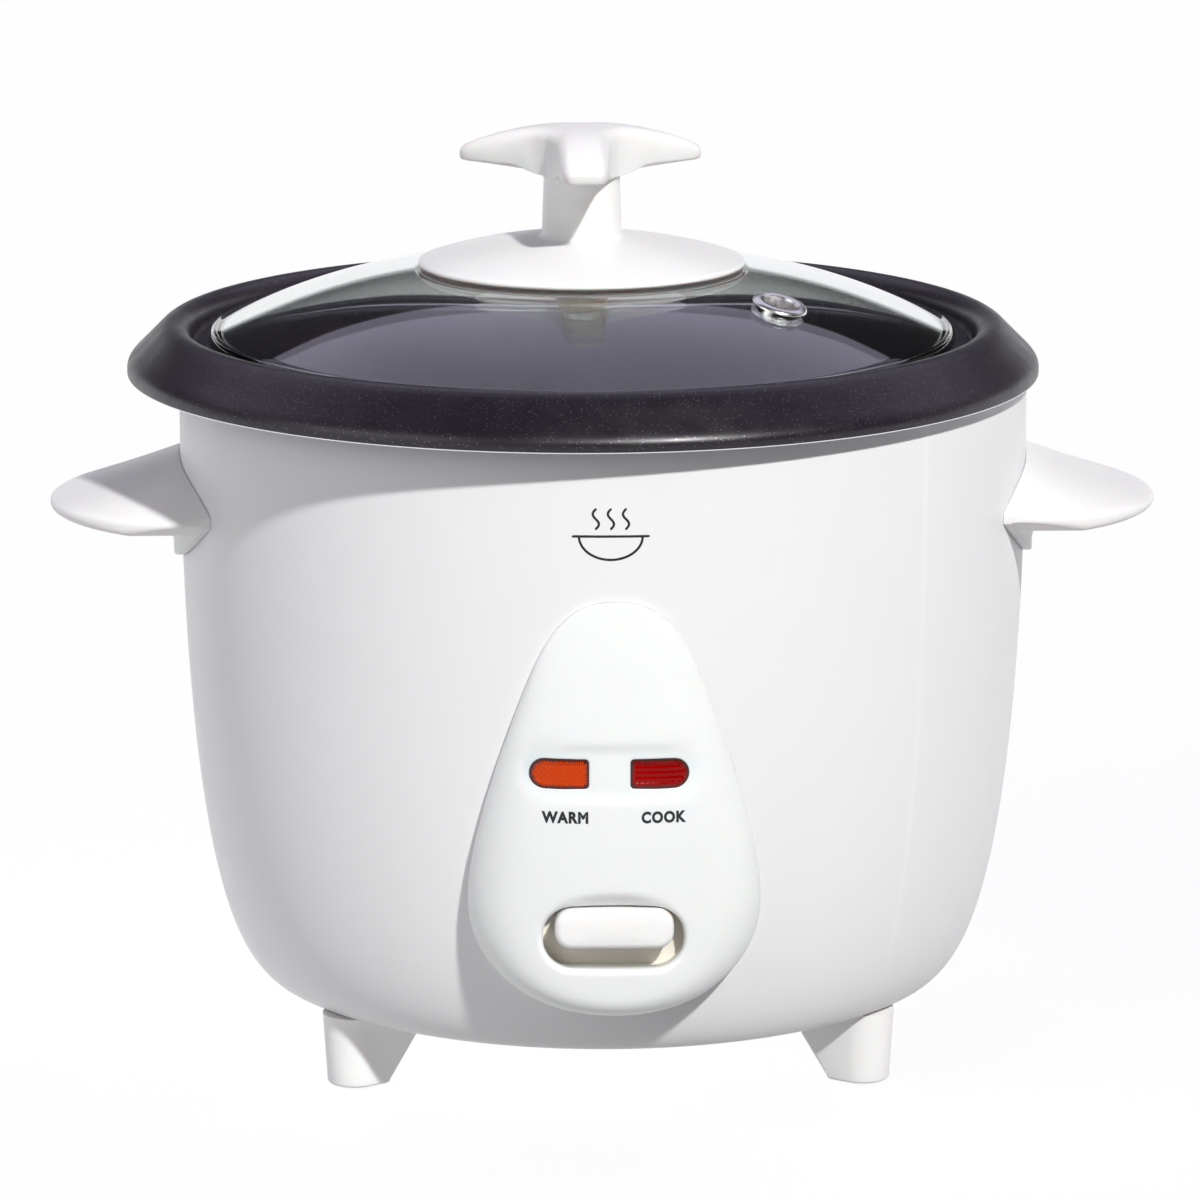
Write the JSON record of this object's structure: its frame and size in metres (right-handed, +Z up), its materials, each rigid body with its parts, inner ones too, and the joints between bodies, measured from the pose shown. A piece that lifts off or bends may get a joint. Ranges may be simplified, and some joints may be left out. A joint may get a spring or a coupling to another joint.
{
  "type": "rice cooker",
  "caption": "Small rice cooker with a straight white housing, lift-out dark pot, domed glass lid with a lobed knob, side handles and a front cook lever.",
  "frame": {"origin": "on the surface it stands on, under the middle of the bounding box, which is the housing's axis", "axes": "+Z up, -Y towards the front with the lever, +X to the right seen from the front"},
  "size_m": [0.268, 0.22, 0.2242],
  "materials": {
    "white_paint": "satin",
    "white_plastic": "semi-gloss",
    "galvanised": "dull zinc",
    "steel": "bright",
    "cast_aluminium": "turned",
    "brass": "bright",
    "ferrite": "matt",
    "dark_plastic": "matt",
    "mica": "matt",
    "lead_cover": "matt",
    "rubber": "matt",
    "pot_coating": "satin non-stick coating with silver flecks",
    "lid_glass": "clear tempered",
    "lamp_glass": "clear",
    "amber_lens": "clear moulded",
    "red_lens": "clear moulded"
  },
  "bodies": {
    "housing": {"outer_shell": "white_paint", "inner_liner": "galvanised", "base_plate": "galvanised", "foot_front_left": "white_plastic", "foot_front_right": "white_plastic", "foot_rear_left": "white_plastic", "foot_rear_right": "white_plastic", "foot_pad_front_left": "rubber", "foot_pad_front_right": "rubber", "foot_pad_rear_left": "rubber", "foot_pad_rear_right": "rubber", "side_handle_left": "white_plastic", "side_handle_right": "white_plastic", "handle_screw_left_front": "steel", "handle_screw_left_rear": "steel", "handle_screw_right_front": "steel", "handle_screw_right_rear": "steel", "control_panel": "white_plastic", "warm_lens": "amber_lens", "cook_lens": "red_lens", "warm_lamp": "lamp_glass", "cook_lamp": "lamp_glass", "lamp_holder": "dark_plastic", "panel_screw_left": "steel", "panel_screw_right": "steel", "heating_plate": "cast_aluminium", "plate_post_1": "galvanised", "plate_post_2": "galvanised", "plate_post_3": "galvanised", "element_terminal_left": "steel", "element_terminal_right": "steel", "thermostat_guide": "galvanised", "sensor_spring": "steel", "plunger_spring": "steel", "lever_pivot_pin": "steel", "switch_bracket": "galvanised", "micro_switch": "dark_plastic", "base_screw": "steel", "inlet_socket": "dark_plastic", "inlet_pin_left": "brass", "inlet_pin_right": "brass", "terminal_block": "lead_cover", "lead_live": "lead_cover", "lead_neutral": "lead_cover", "lead_element": "lead_cover", "keep_warm_heater": "mica", "thermal_fuse": "lead_cover"},
    "pot": {"inner_pot": "pot_coating"},
    "lid": {"lid_glass": "lid_glass", "lid_knob": "white_plastic", "knob_washer": "mica", "knob_screw": "steel", "steam_vent": "steel"},
    "lever": {"cook_lever": "white_plastic", "lever_arm": "galvanised"},
    "plunger": {"plunger_rod": "brass", "magnet": "ferrite"},
    "sensor": {"sensor_cup": "cast_aluminium", "sensor_ferrite": "ferrite"},
    "button": {"switch_button": "mica"}
  },
  "joints": [
    {"name": "pot_lift", "type": "slide", "parent": "housing", "child": "pot", "axis": [0, 0, 1], "range_m": [0, 0.15]},
    {"name": "lid_lift", "type": "slide", "parent": "pot", "child": "lid", "axis": [0, 0, 1], "range_m": [0, 0.1]},
    {"name": "cook_lever_hinge", "type": "hinge", "parent": "housing", "child": "lever", "pos_m": [0, -0.06, 0.054], "axis": [1, 0, 0], "range_deg": [0, 5.2]},
    {"name": "plunger_slide", "type": "slide", "parent": "housing", "child": "plunger", "axis": [0, 0, 1], "range_m": [0, 0.0055], "deforming": ["plunger_spring"]},
    {"name": "switch_button_slide", "type": "slide", "parent": "housing", "child": "button", "axis": [0, 0, 1], "range_m": [0, 0.0018]},
    {"name": "sensor_press", "type": "slide", "parent": "housing", "child": "sensor", "axis": [0, 0, 1], "range_m": [-0.002, 0], "stiffness_N_per_m": 500, "springref_m": 0.003, "deforming": ["sensor_spring"]}
  ],
  "couplings": [
    {"joint": "plunger_slide", "follows": "cook_lever_hinge", "m_per_rad": 0.06},
    {"joint": "switch_button_slide", "follows": "cook_lever_hinge", "m_per_rad": 0.018}
  ]
}
